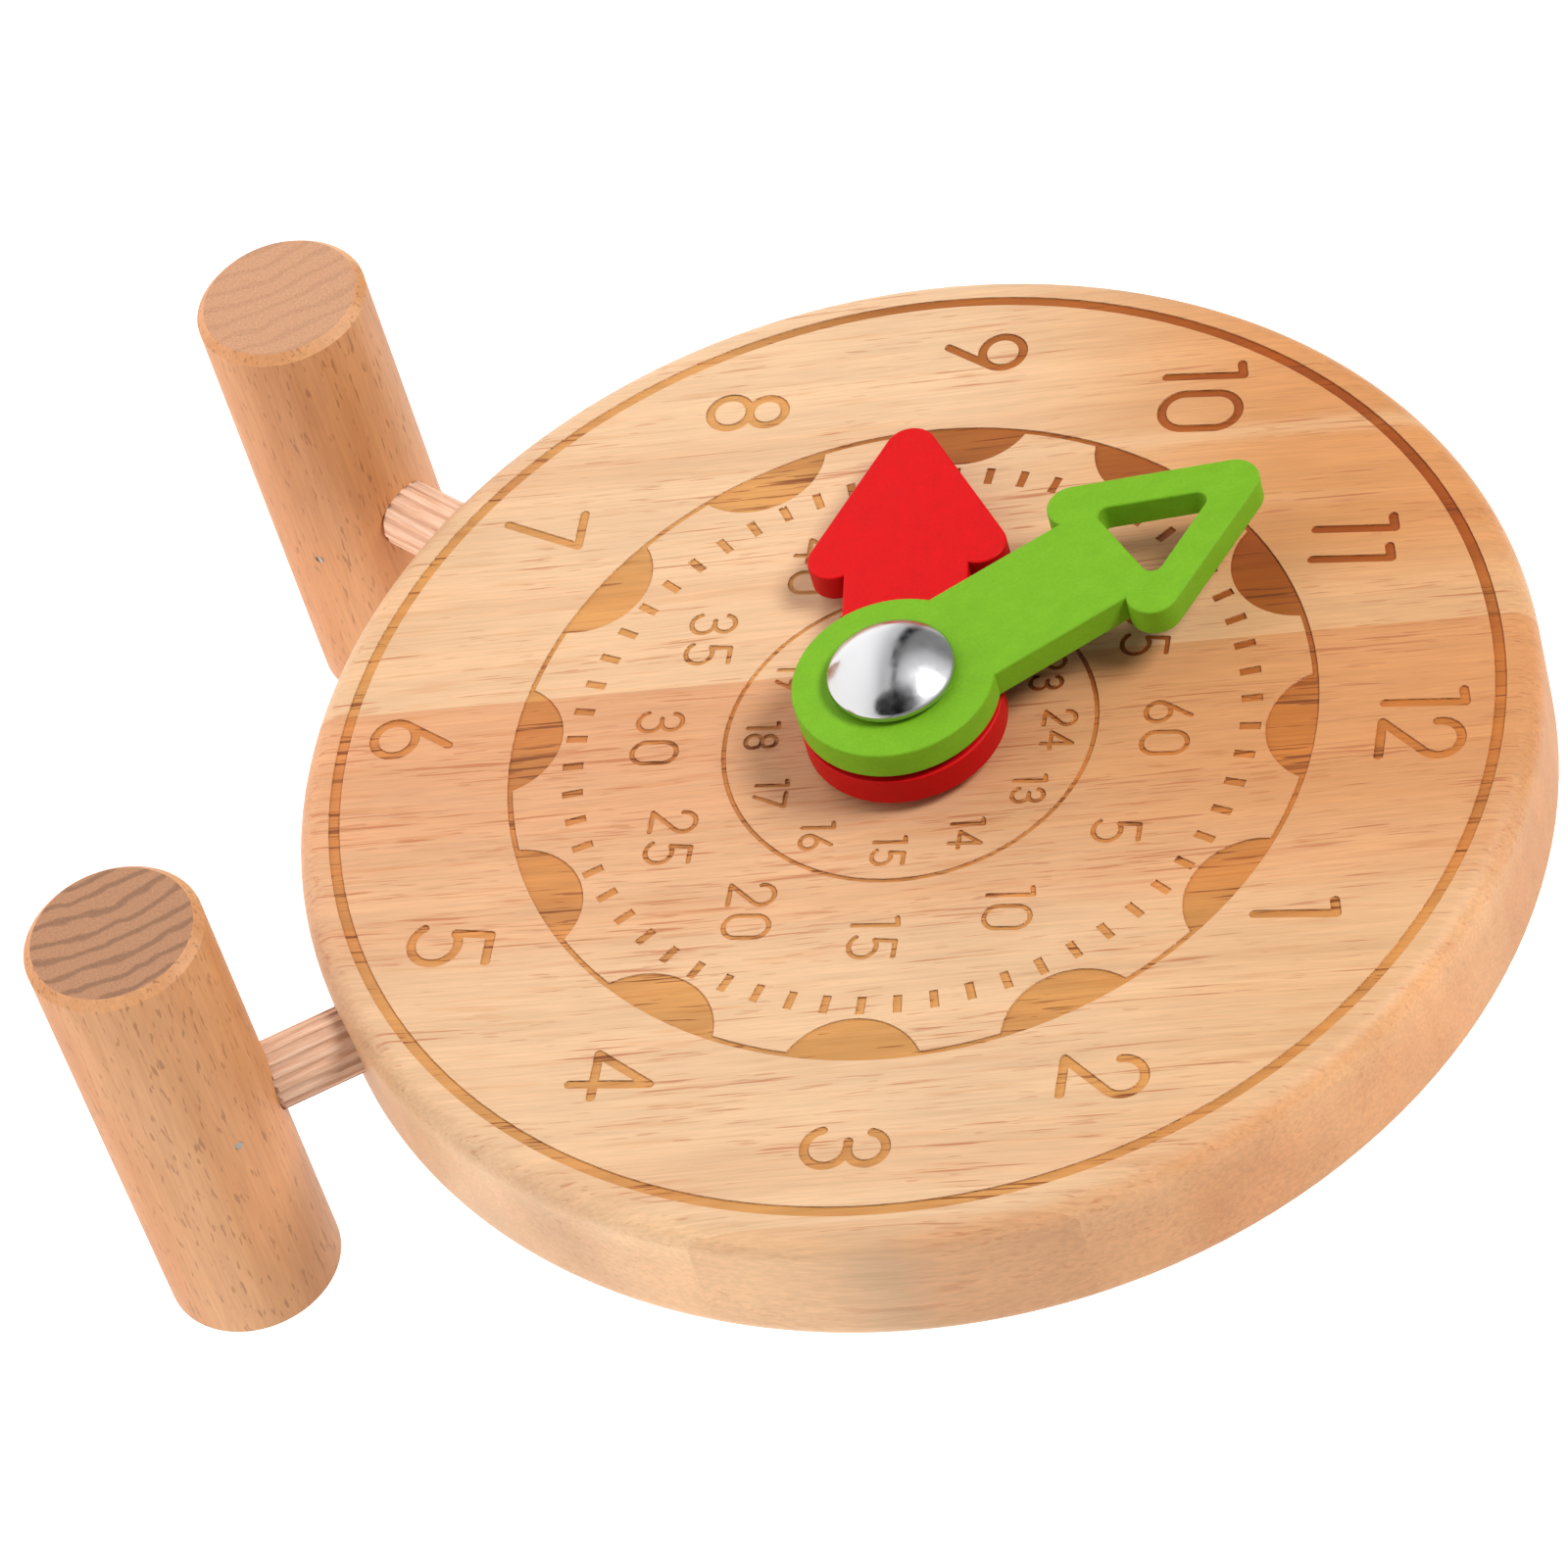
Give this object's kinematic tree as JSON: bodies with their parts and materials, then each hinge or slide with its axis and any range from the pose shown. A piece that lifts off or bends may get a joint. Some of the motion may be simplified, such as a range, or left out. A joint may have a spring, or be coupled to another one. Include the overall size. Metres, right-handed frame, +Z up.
{
  "type": "toy teaching clock",
  "caption": "Wooden toy teaching clock: engraved round dial standing on two round feet, with a red hour hand and a green minute hand that turn freely by hand.",
  "frame": {"origin": "on the table under the middle of the clock: below the dial's centre, midway along the feet, where the feet touch the table", "axes": "+Z up, from 6 o'clock to 12 o'clock; +X towards 3 o'clock, the viewer's right; the dial faces -Y; the pivot's axis is along Y"},
  "size_m": [0.14, 0.06, 0.156],
  "materials": {
    "dial_wood_yellow": "satin, lightly sanded and sealed, yellowish board",
    "dial_wood_pink": "satin, lightly sanded and sealed, pinkish board",
    "dial_wood_pale": "satin, lightly sanded and sealed, pale board",
    "foot_wood": "satin beech rod",
    "dowel_wood": "raw fluted beech dowel",
    "brad_steel": "bright steel pin",
    "washer_nylon": "dark moulded nylon",
    "chrome_cap": "mirror-polished chrome",
    "screw_steel": "zinc-plated steel",
    "red_paint": "satin red paint on plywood",
    "green_paint": "satin green paint on plywood"
  },
  "bodies": {
    "root": {"dial_board_left": "dial_wood_yellow", "dial_board_middle": "dial_wood_pink", "dial_board_right": "dial_wood_pale", "foot_left": "foot_wood", "foot_right": "foot_wood", "foot_dowel_left": "dowel_wood", "foot_dowel_right": "dowel_wood", "foot_brad_left": "brad_steel", "foot_brad_right": "brad_steel", "dial_washer": "washer_nylon", "hand_washer": "washer_nylon", "head_washer": "washer_nylon", "pivot_post": "chrome_cap", "pivot_screw": "screw_steel", "back_washer": "screw_steel"},
    "hour_hand": {"hour_hand": "red_paint"},
    "minute_hand": {"minute_hand": "green_paint"}
  },
  "joints": [
    {"name": "hour_hand_turn", "type": "hinge", "parent": "root", "child": "hour_hand", "pos_m": [0, -0.01, 0.086], "axis": [0, 1, 0], "continuous": true},
    {"name": "minute_hand_turn", "type": "hinge", "parent": "root", "child": "minute_hand", "pos_m": [0, -0.01, 0.086], "axis": [0, 1, 0], "continuous": true}
  ]
}
